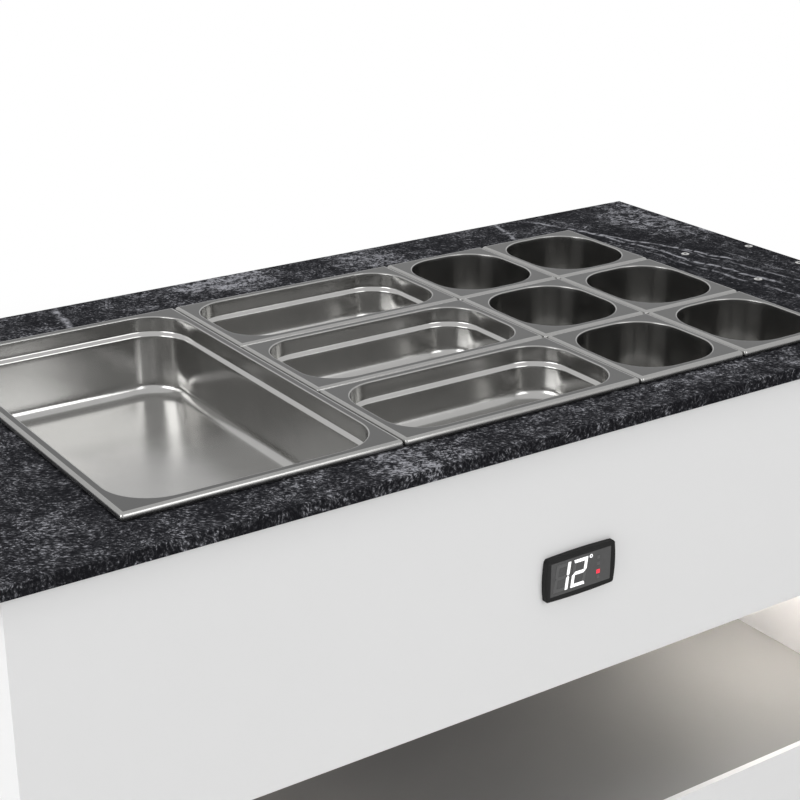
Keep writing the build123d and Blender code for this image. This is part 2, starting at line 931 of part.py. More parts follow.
def refrigerant_pipes():
    """Suction and liquid lines up to the evaporator, and the lines to and from the condenser."""
    suction = post(suction_x, line_y, shell_top, channel_under, pipe_radius)
    liquid = post(liquid_x, line_y, drier_top, channel_under, pipe_radius)
    depth = (condenser_front + condenser_back) / 2
    low = base_top + liquid_height
    feed = pipe(
        (condenser_right, depth, low),
        (liquid_x, depth, low),
        (liquid_x, line_y, low),
        (liquid_x, line_y, drier_low),
    )
    high = shell_top + discharge_rise
    discharge = pipe(
        (compressor_x, depth, shell_top),
        (compressor_x, depth, high),
        (condenser_left, depth, high),
    )
    return [suction, liquid, feed, discharge]


def electrical_box():
    """Wiring box on the base, with its lid facing the service panel."""
    half = box_length / 2
    front = boss_far + lever_sheet + lever_gap
    back = front + box_depth
    box = block((box_x - half, box_x + half), (front, back), (base_top, base_top + box_height))
    wide = (box_x - half - lid_margin, box_x + half + lid_margin)
    return box + block(wide, (back, back + lid_sheet), (base_top, base_top + box_height + lid_margin))


nodes = {
    "worktop": worktop(),
    "well_liner": well_liner(),
    "evaporator_plate": evaporator_plate(),
    "well_insulation": well_insulation(),
    "well_casing": well_casing(),
    "temperature_probe": temperature_probe(),
    "drain_outlet": drain_outlet(),
    "drain_strainer": drain_strainer(),
    "drain_valve": drain_valve(),
    "drain_lever": drain_lever(),
    "adaptor_bar_left": adaptor_bar(-half_space),
    "adaptor_bar_middle": adaptor_bar(half_space),
    "adaptor_bar_right": adaptor_bar(space_x),
    "chassis_posts": chassis_posts(),
    "chassis_rails": chassis_rails(),
    "base_plate": base_plate(),
    "foot_sockets": foot_sockets(),
    "plinth": plinth(),
    "fascia_front": fascia_front(),
    "fascia_back": fascia(1),
    "end_panel_left": end_panel(-1),
    "end_panel_right": end_panel(1),
    "lower_front_panel": lower_front_panel(),
    "service_panel": service_panel(),
    "niche_shelf": niche_shelf(),
    "niche_ceiling": niche_ceiling(),
    "niche_back": niche_back(),
    "lamp_profiles": lamp_profiles(),
    "lamp_diffusers": lamp_diffusers(),
    "controller_bezel": controller_bezel(),
    "controller_window": controller_window(),
    "controller_case": controller_case(),
    "controller_clips": controller_clips(),
    "compressor": compressor(),
    "compressor_rubbers": compressor_rubbers(),
    "condenser": condenser(),
    "fan_shroud": fan_shroud(),
    "fan_motor": fan_motor(),
    "fan_rotor": fan_rotor(),
    "filter_drier": filter_drier(),
    "refrigerant_pipes": refrigerant_pipes(),
    "electrical_box": electrical_box(),
    "cable_gland": cable_gland(),
}
nodes.update(pans())
for name, signs in foot_places.items():
    nodes[f"foot_{name}"] = foot(*signs)

os.makedirs("parts", exist_ok=True)
for name, shape in nodes.items():
    solids = shape if isinstance(shape, list) else [shape]
    export_step(Compound(children=solids), f"parts/{name}.step")
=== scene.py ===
import bpy
import numpy as np
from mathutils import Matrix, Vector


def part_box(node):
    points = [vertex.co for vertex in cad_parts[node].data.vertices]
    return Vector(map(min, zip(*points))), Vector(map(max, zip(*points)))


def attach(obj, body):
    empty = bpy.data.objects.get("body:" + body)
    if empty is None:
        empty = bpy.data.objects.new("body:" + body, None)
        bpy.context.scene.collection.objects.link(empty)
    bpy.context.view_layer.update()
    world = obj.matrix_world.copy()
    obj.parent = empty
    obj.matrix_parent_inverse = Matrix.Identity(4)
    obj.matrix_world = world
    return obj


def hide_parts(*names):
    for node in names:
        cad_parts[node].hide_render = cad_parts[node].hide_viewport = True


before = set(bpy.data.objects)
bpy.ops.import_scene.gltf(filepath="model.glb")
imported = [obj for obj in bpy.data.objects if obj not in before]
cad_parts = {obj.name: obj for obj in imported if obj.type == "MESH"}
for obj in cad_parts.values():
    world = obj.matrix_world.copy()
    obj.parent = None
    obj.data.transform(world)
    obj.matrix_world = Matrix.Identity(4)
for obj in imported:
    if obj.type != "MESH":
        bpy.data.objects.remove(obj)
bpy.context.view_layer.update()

# Levelling feet
# Four square telescopic legs moulded in black glass-filled nylon. Each slides in a socket
# under the base and stands on its own flared pad.


class Wire:
    """One output socket of a shader tree. Sums, differences, products and quotients of wires and
    numbers add Math nodes; node() adds any other node, its settings first and then its sockets."""

    def __init__(self, socket):
        self.socket = socket

    def node(self, kind, settings=None, sockets=None, out=0):
        tree = self.socket.id_data
        made = tree.nodes.new("ShaderNode" + kind)
        for key, value in (settings or {}).items():
            setattr(made, key, value)
        for key, value in (sockets or {}).items():
            if isinstance(value, Wire):
                tree.links.new(value.socket, made.inputs[key])
            else:
                made.inputs[key].default_value = value
        return Wire(made.outputs[out])

    def math(self, operation, first, second=0.0):
        return self.node("Math", {"operation": operation}, {0: first, 1: second})

    def __add__(self, other):
        return self.math("ADD", self, other)

    def __sub__(self, other):
        return self.math("SUBTRACT", self, other)

    def __rsub__(self, other):
        return self.math("SUBTRACT", other, self)

    def __mul__(self, other):
        return self.math("MULTIPLY", self, other)

    __radd__ = __add__
    __rmul__ = __mul__

    def ramp(self, start, end):
        """This value as a smooth step: 0 at start and before, 1 at end and after."""
        limits = {0: self, 1: start, 2: end}
        return self.node("MapRange", {"interpolation_type": "SMOOTHSTEP"}, limits)

    def between(self, low, high):
        """A colour that goes from low, where this is 0, to high, where it is 1."""
        return self.node("Mix", {"data_type": "RGBA"}, {0: self, 6: low, 7: high}, out=2)

    def stretch(self, x, y, z):
        """This place with its three coordinates scaled."""
        return self.node("VectorMath", {"operation": "MULTIPLY"}, {0: self, 1: (x, y, z)})

    def noise(self, scale, detail=3.0, rough=0.5):
        """Smooth noise from 0 to 1 at this place, so many lumps to the metre."""
        sockets = {"Vector": self, "Scale": scale, "Detail": detail, "Roughness": rough}
        return self.node("TexNoise", {}, sockets)

    def bump(self, strength, distance):
        """A normal that this height raises by the distance, in metres."""
        return self.node("Bump", {}, {"Strength": strength, "Distance": distance, "Height": self})


def grey(level):
    """A neutral colour."""
    return (level, level, level, 1.0)


def new_finish(name, constants):
    """A node material with its constants set; gives the material and the place on the piece."""
    material = bpy.data.materials.new(name)
    material.use_nodes = True
    shader = material.node_tree.nodes["Principled BSDF"]
    for key, value in constants.items():
        shader.inputs[key].default_value = value
    texture = material.node_tree.nodes.new("ShaderNodeTexCoord")
    return material, Wire(texture.outputs["Object"])


def feed(material, wires):
    """Links wires to the material's shader."""
    tree = material.node_tree
    for key, wire in wires.items():
        tree.links.new(wire.socket, tree.nodes["Principled BSDF"].inputs[key])


def dress(material, *names):
    """Gives CAD nodes a material."""
    for name in names:
        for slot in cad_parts[name].material_slots:
            slot.material = material


black_plastic, place = new_finish("black_plastic", {"Specular IOR Level": 0.35})
grain = place.noise(2600, 2.0)
cloud = place.noise(35)
feed(black_plastic, {
    "Base Color": cloud.between(grey(0.012), grey(0.022)),
    "Roughness": 0.42 + 0.16 * cloud,
    "Normal": grain.bump(0.25, 0.0001),
})
dress(black_plastic, "foot_front_left", "foot_front_right", "foot_back_left", "foot_back_right")

# Base, sockets and frame
# Galvanised sheet and square tube, welded. The base plate carries the condensing unit, the
# sockets take the feet, and the posts and rails stand behind the panels.

galvanised, place = new_finish("galvanised", {"Metallic": 0.9, "Specular IOR Level": 0.4})
spangle = place.node("TexVoronoi", {}, {"Vector": place, "Scale": 95.0}, out=1)
spangle = spangle.node("SeparateColor", {}, {0: spangle})
haze = place.noise(14, 4.0)
feed(galvanised, {
    "Base Color": (0.6 * spangle + 0.4 * haze).between((0.33, 0.35, 0.36, 1), (0.58, 0.6, 0.61, 1)),
    "Roughness": 0.34 + 0.2 * spangle,
    "Normal": place.noise(700, 2.0).bump(0.12, 0.0002),
})
dress(galvanised, "base_plate", "foot_sockets", "chassis_posts", "chassis_rails")
dress(galvanised, "well_casing", "fan_shroud")

# Plinth
# A dark grey laminated board set back under the panels, clipped to the feet.

plinth_board, place = new_finish("plinth_board", {"Specular IOR Level": 0.3})
scuff = place.stretch(1, 1, 5).noise(60, 4.0, 0.6)
feed(plinth_board, {
    "Base Color": scuff.between(grey(0.03), grey(0.05)),
    "Roughness": 0.5 + 0.2 * scuff,
    "Normal": place.noise(900, 2.0).bump(0.15, 0.0001),
})
dress(plinth_board, "plinth")

# Compressor and fan motor
# A hermetic steel pot on four rubber feet, and a small motor on a strap across the shroud.
# Both are dipped in black enamel.

black_enamel, place = new_finish("black_enamel", {"Coat Weight": 0.3, "Coat Roughness": 0.15})
flow = place.stretch(1, 1, 0.4).noise(40, 3.0)
feed(black_enamel, {
    "Base Color": flow.between(grey(0.01), grey(0.018)),
    "Roughness": 0.25 + 0.2 * flow,
    "Normal": place.noise(260, 2.0).bump(0.1, 0.0003),
})
dress(black_enamel, "compressor", "fan_motor")

rubber, place = new_finish("rubber", {"Specular IOR Level": 0.2})
bloom = place.noise(120, 3.0)
feed(rubber, {
    "Base Color": bloom.between(grey(0.015), grey(0.03)),
    "Roughness": 0.75 + 0.15 * bloom,
    "Normal": place.noise(1800, 2.0).bump(0.2, 0.0001),
})
dress(rubber, "compressor_rubbers")

# Condenser, fan and evaporator
# Thin aluminium fins in a folded frame, a pressed fan, and the roll-bond plate under the well.
# The lamp profiles are extruded from the same metal.

aluminium, place = new_finish("aluminium", {"Metallic": 0.95})
rolled = place.stretch(1, 14, 1).noise(70, 4.0, 0.6)
feed(aluminium, {
    "Base Color": rolled.between(grey(0.55), grey(0.72)),
    "Roughness": 0.28 + 0.2 * rolled,
    "Normal": rolled.bump(0.08, 0.0001),
})
dress(aluminium, "condenser", "fan_rotor", "evaporator_plate", "lamp_profiles")

# Pipes and drier
# Drawn copper, brazed at the joints, dulled to brown where the torch passed.

copper, place = new_finish("copper", {"Metallic": 1.0})
tarnish = place.noise(55, 5.0, 0.65)
feed(copper, {
    "Base Color": tarnish.between((0.62, 0.27, 0.14, 1), (0.36, 0.16, 0.09, 1)),
    "Roughness": 0.22 + 0.3 * tarnish,
    "Normal": place.noise(500, 2.0).bump(0.05, 0.0001),
})
dress(copper, "refrigerant_pipes", "filter_drier")

# Wiring box
# A grey moulded enclosure screwed to the base beside the drain.

grey_plastic, place = new_finish("grey_plastic", {"Specular IOR Level": 0.4})
mould = place.noise(30, 2.0)
feed(grey_plastic, {
    "Base Color": mould.between(grey(0.34), grey(0.4)),
    "Roughness": 0.45 + 0.1 * mould,
    "Normal": place.noise(2200, 2.0).bump(0.2, 0.0001),
})
dress(grey_plastic, "electrical_box")

# Insulation
# Rigid polyurethane, foamed in place between the well and its casing: closed cells, cream,
# a little browner where it skinned.

foam, place = new_finish("foam", {"Specular IOR Level": 0.1})
cells = place.node("TexVoronoi", {}, {"Vector": place, "Scale": 420.0})
skin = place.noise(18, 4.0)
feed(foam, {
    "Base Color": skin.between((0.72, 0.6, 0.33, 1), (0.8, 0.71, 0.46, 1)),
    "Roughness": 0.85 + 0.1 * skin,
    "Normal": cells.bump(0.5, 0.0006),
})
dress(foam, "well_insulation")

# Cold well, its bars and its drain
# Satin stainless sheet, folded and welded into a tub. The bars are channels laid across it that
# carry the pans' rims, and the drain goes out through its floor.

well_steel, place = new_finish("well_steel", {"Metallic": 1.0})
brushed = place.stretch(3, 90, 90).noise(22, 4.0, 0.6)
feed(well_steel, {
    "Base Color": brushed.between(grey(0.36), grey(0.48)),
    "Roughness": 0.3 + 0.14 * brushed,
    "Normal": brushed.bump(0.06, 0.0001),
})
dress(well_steel, "well_liner", "adaptor_bar_left", "adaptor_bar_middle", "adaptor_bar_right")
dress(well_steel, "drain_outlet", "drain_strainer")
dress(black_plastic, "temperature_probe")

# Drain valve and lever
# A machined brass ball valve under the drain, turned by a steel lever in a dipped red sleeve.

brass, place = new_finish("brass", {"Metallic": 1.0})
turned = place.stretch(1, 1, 30).noise(120, 3.0)
feed(brass, {
    "Base Color": turned.between((0.6, 0.4, 0.14, 1), (0.74, 0.54, 0.22, 1)),
    "Roughness": 0.2 + 0.2 * turned,
    "Normal": turned.bump(0.08, 0.0001),
})
dress(brass, "drain_valve")

red_plastic, place = new_finish("red_plastic", {"Specular IOR Level": 0.5})
dip = place.noise(90, 2.0)
feed(red_plastic, {
    "Base Color": dip.between((0.42, 0.018, 0.012, 1), (0.55, 0.03, 0.02, 1)),
    "Roughness": 0.35 + 0.15 * dip,
    "Normal": place.noise(300, 2.0).bump(0.1, 0.0002),
})
dress(red_plastic, "drain_lever")

# Niche
# Shelf, ceiling and back in a grey-beige laminate with a faint linen emboss, edged in the same
# colour, dowelled between the end panels. Their colour is painted darker than the laminate, as a
# painted shade for the recess.

niche_board, place = new_finish("niche_board", {"Specular IOR Level": 0.3})
linen = place.noise(1500, 1.0)
drift = place.noise(5, 3.0)
# Painted shade: the boards' colour is kept dark to stand for the shade inside the recess.
feed(niche_board, {
    "Base Color": drift.between((0.215, 0.213, 0.21, 1), (0.245, 0.243, 0.24, 1)),
    "Roughness": 0.5 + 0.12 * drift,
    "Normal": linen.bump(0.15, 0.0001),
})
dress(niche_board, "niche_shelf", "niche_ceiling", "niche_back")

# Fascias and panels
# White laminated boards with square edges and a faint orange-peel in the satin surface. They are
# screwed to the frame from inside, so no fixing shows.

white_board, place = new_finish("white_board", {"Specular IOR Level": 0.35})
tone = place.noise(3, 2.0)
peel = place.noise(650, 2.0)
feed(white_board, {
    "Base Color": tone.between(grey(0.755), grey(0.775)),
    "Roughness": 0.36 + 0.08 * tone,
    "Normal": peel.bump(0.06, 0.0001),
})
dress(white_board, "fascia_front", "fascia_back", "lower_front_panel")
dress(white_board, "end_panel_left", "end_panel_right")

# Niche lamps
# An opal strip in an aluminium channel at each end of the niche's ceiling, warm white.

opal, place = new_finish("opal", {"Emission Strength": 78.0, "Roughness": 0.4})
spots = place.stretch(0, 1, 0).noise(60, 1.0)
feed(opal, {
    "Base Color": spots.between((0.8, 0.76, 0.7, 1), (0.84, 0.8, 0.74, 1)),
    "Emission Color": spots.between((1.0, 0.91, 0.84, 1), (1.0, 0.94, 0.88, 1)),
})
dress(opal, "lamp_diffusers")

# Worktop
# A slab of honed charcoal stone with an eased arris. Its grey grains lie in short strokes that run
# right through the slab and streak its edges. Pale mineral crosses it in thin broken veins at the
# right end, in two cracks at the back, and in clouds near its edges.

stone, place = new_finish("stone", {"Specular IOR Level": 0.002})
slab_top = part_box("worktop")[1].z
arris_low, arris_high = slab_top - 0.0028, slab_top - 0.0004
warp_reach = 0.035
grain_angle = np.radians(34)
fleck_level = 0.05
edge_shade = 0.6
cloud_level = 22
vein_fade = 0.02
warp = place.node("TexNoise", {}, {"Vector": place, "Scale": 13.0, "Detail": 3.0}, out=1)
warp = warp.node("VectorMath", {"operation": "SUBTRACT"}, {0: warp, 1: (0.5, 0.5, 0.5)})
warp = warp.node("VectorMath", {"operation": "SCALE"}, {0: warp, "Scale": warp_reach})
bent = place.node("VectorMath", {"operation": "ADD"}, {0: place, 1: warp})
grain_turn = {"Vector": bent, "Angle": grain_angle}
strokes = bent.node("VectorRotate", {"rotation_type": "Z_AXIS"}, grain_turn).stretch(0.55, 1, 0.55)
grains = strokes.noise(420, 2.0, 0.65)
crystals = strokes.noise(1000, 1.0, 0.6)
beds = bent.noise(9, 3.0, 0.6)
blotches = bent.noise(48, 3.0, 0.6)
ragged = bent.noise(80, 5.0, 0.7)
across = place.node("SeparateXYZ", {}, {0: bent}, out=0)
along = place.node("SeparateXYZ", {}, {0: bent}, out=1)
height = place.node("SeparateXYZ", {}, {0: place}, out=2)
# The flecks' brightness is the exponential of a weighted sum of noises, lower at the right end.
mixture = 14 * grains + 5 * crystals + 7 * blotches + 4 * beds - 15 - 0.9 * across.ramp(0.42, 0.54)
# Below the arris the flecks are dimmed on the slab's sides. This is a painted shade for sides that face
# away from the light above.
top_face = height.ramp(arris_low, arris_high)
flecks = fleck_level * mixture.math("EXPONENT", mixture) * (edge_shade + (1 - edge_shade) * top_face)


def vein(x, lean, half_width, near, far):
    """A pale line where x = x0 + lean y, between two depths, fading across its width."""
    off = across - lean * along - x
    line = 1 - off.math("ABSOLUTE", off).ramp(0.0, half_width)
    begun = along.ramp(near - vein_fade, near + vein_fade)
    return line * begun * (1 - along.ramp(far - vein_fade, far + vein_fade))


def cloud_patch(x, y, half_x, half_y):
    """A soft oval patch: 1 at its middle and 0 past its edge."""
    off = bent.node("VectorMath", {"operation": "SUBTRACT"}, {0: bent, 1: (x, y, 0.0)})
    off = off.stretch(1 / half_x, 1 / half_y, 0)
    return 1 - off.node("VectorMath", {"operation": "LENGTH"}, {0: off}, out=1).ramp(0.3, 1.1)


right_end_veins = (
    (1.4, 0.604, -0.355, 0.0045, 0.02, 0.33),
    (1.4, 0.556, -0.152, 0.0048, -0.1, 0.26),
    (0.7, 0.585, -0.2, 0.0035, -0.3, 0.1),
    (0.6, 0.62, -0.1, 0.003, -0.2, 0.05),
    (0.7, 0.535, -0.12, 0.004, -0.34, 0.15),
)
back_cracks = ((1, 0.347, 0.247, 0.006, 0.24, 0.36), (1, -0.342, 0.17, 0.007, 0.24, 0.36))
veins = sum(strength * vein(*line) for strength, *line in right_end_veins + back_cracks)
edge_clouds = (
    (1, 0.65, 0.25, 0.07, 0.15),
    (1, -0.045, 0.32, 0.09, 0.05),
    (0.4, 0.62, -0.28, 0.06, 0.08),
    (0.6, -0.16, -0.31, 0.07, 0.05),
    (0.45, 0.175, 0.305, 0.06, 0.06),
)
clouds = sum(share * cloud_patch(*patch) for share, *patch in edge_clouds)
lanes = bent.stretch(1.0, 0.12, 1.0).noise(75, 3.0, 0.6)
streaks = lanes.ramp(0.56, 0.68) * across.ramp(0.47, 0.52) * 0.15
clouded = flecks * (1 + cloud_level * clouds * ragged.ramp(0.42, 0.64))
pale = clouded + ragged.ramp(0.4, 0.6) * (veins + streaks)
feed(stone, {
    "Base Color": pale.between((0.009, 0.0092, 0.011, 1), (0.27, 0.272, 0.295, 1)),
    "Roughness": 0.5 + 0.2 * crystals,
    "Normal": crystals.bump(0.08, 0.0002),
})
dress(stone, "worktop")

# Bolt rings
# Turned stainless bushes pressed into the four bolt holes at the worktop's right end. Each has a
# flat collar that lies on the stone and a bore for an M5 bolt.

mm = 0.001
bolt_places = ((563.0, -72.0), (563.0, 72.0), (665.5, -49.5), (665.5, 49.5))
ring_outer = 5.75
ring_bore = 2.1
ring_barrel = 2.6
ring_proud = 0.4
ring_depth = 14.0
ring_ease = 0.2
ring_edge = 0.25
ring_sides = 40
stone_top = slab_top / mm


def turned_ring(profile, centre):
    """A closed profile of (radius, height) turned about the vertical through a centre:
    x = x0 + r cos a, y = y0 + r sin a, z = h, with a going once round."""
    angle = np.linspace(0, 2 * np.pi, ring_sides, endpoint=False)
    radius, height = np.array(profile).T
    x = centre[0] + radius[:, None] * np.cos(angle)
    y = centre[1] + radius[:, None] * np.sin(angle)
    return np.stack([x, y, height[:, None] + 0 * x], -1)


def grid_faces(rows, columns, closed_rows):
    """Quads of a grid whose columns go round, and whose rows do where that is asked."""
    last = rows if closed_rows else rows - 1
    row, column = np.meshgrid(np.arange(last), np.arange(columns), indexing="ij")
    below = (row + 1) % rows
    beside = (column + 1) % columns
    near = [row * columns + column, row * columns + beside]
    far = [below * columns + beside, below * columns + column]
    return np.stack(near + far, -1).reshape(-1, 4)


def outward(points, faces):
    """The faces turned to point out, judged by the sign of the volume that they enclose."""
    a, b, c, d = (points[faces[:, k]] for k in range(4))
    volume = np.einsum("ij,ij->", a, np.cross(b, c)) + np.einsum("ij,ij->", a, np.cross(c, d))
    return faces if volume > 0 else faces[:, ::-1]


def new_piece(name, points, faces, material, sharp=40.0):
    """A mesh object of points in millimetres, smooth but for edges sharper than an angle."""
    data = bpy.data.meshes.new(name)
    corners = [list(dict.fromkeys(face)) for face in faces.tolist()]
    data.from_pydata((points * mm).tolist(), [], corners)
    data.polygons.foreach_set("use_smooth", np.ones(len(data.polygons), bool))
    data.set_sharp_from_angle(angle=np.radians(sharp))
    data.materials.append(material)
    piece = bpy.data.objects.new(name, data)
    bpy.context.scene.collection.objects.link(piece)
    return piece


def burnished(piece, values):
    """Stores how polished each point of a piece is, from 0 for satin to 1."""
    mark = piece.data.attributes.new("burnish", "FLOAT", "POINT")
    mark.data.foreach_set("value", np.asarray(values, np.float32))


pan_steel, place = new_finish("pan_steel", {"Metallic": 1.0})
burnish = place.node("Attribute", {"attribute_name": "burnish"}, {}, out=2)
smear = place.noise(26, 4.0, 0.6)
drawn = place.stretch(1, 1, 0.08).noise(420, 2.0)
satin = smear.between((0.105, 0.105, 0.104, 1), (0.122, 0.122, 0.12, 1))
polished = smear.between((0.42, 0.417, 0.408, 1), (0.48, 0.477, 0.467, 1))
feed(pan_steel, {
    "Base Color": burnish.between(satin, polished),
    "Roughness": 0.4 - 0.28 * burnish + 0.08 * smear,
    "Normal": drawn.bump(0.005, 0.0001),
})

for number, centre in enumerate(bolt_places):
    profile = (
        (ring_bore, stone_top - ring_depth),
        (ring_bore, stone_top + ring_proud - ring_ease),
        (ring_bore + ring_ease, stone_top + ring_proud),
        (ring_outer - ring_edge, stone_top + ring_proud),
        (ring_outer, stone_top + ring_proud - ring_ease),
        (ring_outer, stone_top),
        (ring_barrel, stone_top),
        (ring_barrel, stone_top - ring_depth),
    )
    points = turned_ring(profile, centre)
    faces = grid_faces(points.shape[0], points.shape[1], True)
    points = points.reshape(-1, 3)
    ring = new_piece(f"bolt_ring_{number}", points, outward(points, faces), pan_steel, sharp=30.0)
    burnished(ring, np.ones(len(points)))
    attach(ring, "island")

# Pans
# Gastronorm pans drawn from stainless sheet: the rim is turned down, the flange is satin, the
# mouth is rounded, the walls are polished, and the shallow and the full ones have a step for
# stacking. They hang by their rims on the stone and the bars.

sheet = 1.2
rim_height = 9.0
rim_roll = 4.0
rim_corner = 4.0
lip_lean = np.radians(15)
lip_low = 6.4
lip_curl = 0.6
lip_knee = 0.2 * lip_curl
hem_inset = 3.4
hem_ease = 0.5
flat_edge = 0.4
mouth_roll = 1.3
wall_draft = 0.022
floor_roll = 14.0
shoulder_drop = 22.0
shoulder_step = 3.5
shoulder_run = 3.0
smallest_corner = 0.6
wide_flange = (12.5, 12.5)
narrow_flange = (9.5, 11.5)
deep = 100.0
shallow = 65.0
full_corner = 55.0
third_corner = 48.0
sixth_corner = 56.0
hem_burnish = (0, 0, 0, 0.2, 0.4, 0.6)
lip_burnish = 0.66
mouth_burnish = 0.7
wall_burnish = 0.9
floor_burnish = 0.85
middle_burnish = (0.75, 0.4)
under_share = 0.5
roll_points = 8
wall_points = (5, 15, 12)
corner_points = 12
side_points = 5
arc = np.linspace(0, np.pi / 2, roll_points)


def rounded_ring(half_x, half_y, corner):
    """Points round rounded rectangles, one row for each value of the arrays. A quarter circle of
    the corner's radius stands at each corner, and straight sides join the quarters."""
    turn = np.linspace(0, np.pi / 2, corner_points)
    angle = np.arange(4)[:, None] * np.pi / 2 + turn
    sign_x = np.array([1, -1, -1, 1])[:, None]
    sign_y = np.array([1, 1, -1, -1])[:, None]
    half_x, half_y, corner = (np.asarray(v, float)[:, None, None] for v in (half_x, half_y, corner))
    x = sign_x * (half_x - corner) + corner * np.cos(angle)
    y = sign_y * (half_y - corner) + corner * np.sin(angle)
    quarter = np.stack([x, y], -1)
    start = quarter[:, :, -1:, :]
    end = np.roll(quarter, -1, axis=1)[:, :, :1, :]
    step = np.arange(1, side_points + 1)[:, None] / (side_points + 1)
    side = start + (end - start) * step
    return np.concatenate([quarter, side], axis=2).reshape(len(half_x), -1, 2)


def pan_profile(depth, step):
    """Rows of a pan's upper skin: the hem that stands on the stone, the lip curled out from it, the
    roll of the rim (inset c - R cos a, height R (sin a - 1)), the flange, the mouth, the wall and
    the floor. Each has the share of the flange crossed, the inset, the height and the burnish."""
    hem = [(hem_inset, -rim_height), (hem_inset, -lip_low - hem_ease), (hem_inset - hem_ease, -lip_low)]
    hem += [(lip_curl, -lip_low), (lip_knee, -lip_low + lip_knee), (0, -lip_low + lip_curl)]
    roll = np.linspace(lip_lean, np.pi / 2, roll_points)
    slope = (lip_low - lip_curl - rim_roll * (1 - np.sin(lip_lean))) * np.tan(lip_lean)
    rim = slope + rim_roll * (np.cos(lip_lean) - np.cos(roll))
    step_top, step_foot = shoulder_run - shoulder_drop, -shoulder_run - shoulder_drop
    above, across_step, below = wall_points
    wall = [*np.linspace(-mouth_roll, step_top, above)[:-1], *np.linspace(step_top, step_foot, across_step)]
    wall = np.array([*wall, *np.linspace(step_foot, -depth + floor_roll, below)[1:]])
    ease = np.clip((step_top - wall) / (step_top - step_foot), 0, 1)
    inset = wall_draft * (-mouth_roll - wall) + step * ease * ease * (3 - 2 * ease)
    floor_inset = inset[-1] + floor_roll * (1 - np.cos(arc[1:]))
    floor_level = -depth + floor_roll * (1 - np.sin(arc[1:]))
    blocks = [
        (0, *np.array(hem).T, hem_burnish),
        (0, rim, rim_roll * (np.sin(roll) - 1), lip_burnish),
        (0, [rim[-1] + flat_edge], [0], 0),
        (1, [-mouth_roll - flat_edge], [0], 0),
        (1, mouth_roll * (np.sin(arc) - 1), mouth_roll * (np.cos(arc) - 1), mouth_burnish),
        (1, inset[1:], wall[1:], wall_burnish),
        (1, floor_inset, floor_level, floor_burnish),
    ]
    return np.concatenate([np.array(np.broadcast_arrays(*block), float) for block in blocks], axis=1)


def under_skin(rows, flange):
    """The lower skin: the upper one's profile moved by the sheet's thickness along its normal."""
    share, extra, height, shine = rows
    run = np.gradient(share * flange + extra)
    rise = np.gradient(height)
    length = np.hypot(run, rise)
    shifted = [extra + sheet * rise / length, height - sheet * run / length]
    return np.array([share, *shifted, shine * under_share])


def capped_faces(rows, columns):
    """Faces of an open grid whose columns go round, with a fan at each end to a point of its own.
    The two points come after the grid's."""
    first = np.arange(columns)
    beside = (first + 1) % columns
    last = (rows - 1) * columns
    head = np.stack([np.full(columns, rows * columns), first, beside, beside], -1)
    tail = np.stack([np.full(columns, rows * columns + 1), last + beside, last + first, last + first], -1)
    return np.concatenate([head, grid_faces(rows, columns, False)[:, ::-1], tail])


def drawn_pan(node, flange, corner, depth, step):
    """The pan in place of its CAD node: rings of the upper skin from the floor to the lip, then of
    the lower skin back to the floor, closed by a point in the middle of each."""
    low, high = (np.array(v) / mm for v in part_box(node))
    centre = (low + high) / 2
    half = (high - low)[:2] / 2
    upper = pan_profile(depth, step)
    lower = under_skin(upper, sum(flange) / 2)
    share, extra, height, shine = np.concatenate([upper[:, ::-1], lower], axis=1)
    radius = np.maximum(rim_corner + (corner - rim_corner) * share - extra, smallest_corner)
    outline = rounded_ring(half[0] - flange[0] * share - extra, half[1] - flange[1] * share - extra, radius)
    rows, columns = outline.shape[:2]
    level = np.broadcast_to((high[2] + height)[:, None, None], (rows, columns, 1))
    points = np.concatenate([outline + centre[:2], level], -1).reshape(-1, 3)
    poles = [[*centre[:2], high[2] + height[0]], [*centre[:2], high[2] + height[-1]]]
    points = np.concatenate([points, poles])
    faces = outward(points, capped_faces(rows, columns))
    pan = new_piece(node + "_drawn", points, faces, pan_steel, sharp=50.0)
    burnished(pan, np.append(np.repeat(shine, columns), middle_burnish))
    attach(pan, node)
    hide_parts(node)


drawn_pan("pan_full", wide_flange, full_corner, deep, shoulder_step)
for row in ("front", "middle", "back"):
    drawn_pan(f"pan_third_{row}", wide_flange, third_corner, shallow, shoulder_step)
    for column in ("left", "right"):
        drawn_pan(f"pan_sixth_{column}_{row}", narrow_flange, sixth_corner, deep, 0.0)

# Controller
# A digital thermostat snapped into the fascia: a bowed black bezel with a recessed smoked window.
# Two slanted seven-segment digits, a degree ring and a red lamp stand behind the window.

dress(black_plastic, "controller_case", "controller_clips")
bezel_black, place = new_finish("bezel_black", {"Specular IOR Level": 0.12})
texture = place.noise(1900, 2.0)
wear = place.noise(60, 3.0)
feed(bezel_black, {
    "Base Color": wear.between(grey(0.011), grey(0.017)),
    "Roughness": 0.45 + 0.15 * wear,
    "Normal": texture.bump(0.15, 0.0001),
})
bezel_low, bezel_high = (np.array(v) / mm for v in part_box("controller_bezel"))
bezel_middle = (bezel_low + bezel_high) / 2
bezel_half = (bezel_high - bezel_low) / 2
bezel_bow = np.array([2.2, 1.4])
bezel_corner = 3.0
bezel_roll = 1.6
bezel_flat = 0.5
bezel_margin = 6.0
window_recess = 1.6
window_bevel = ((0.7, 0.25), (0.1, 0.6))
window_ledge = 0.1
window_corner = 0.5


def bowed(outline, half_x, half_y, bow):
    """Bows the sides of outlines outwards: x' = x + bow_x (x/a) (1 - (y/b)^2), and y' likewise."""
    x = outline[..., 0] / half_x
    y = outline[..., 1] / half_y
    push = np.stack([x * (1 - y * y), y * (1 - x * x)], -1)
    return outline + bow * push


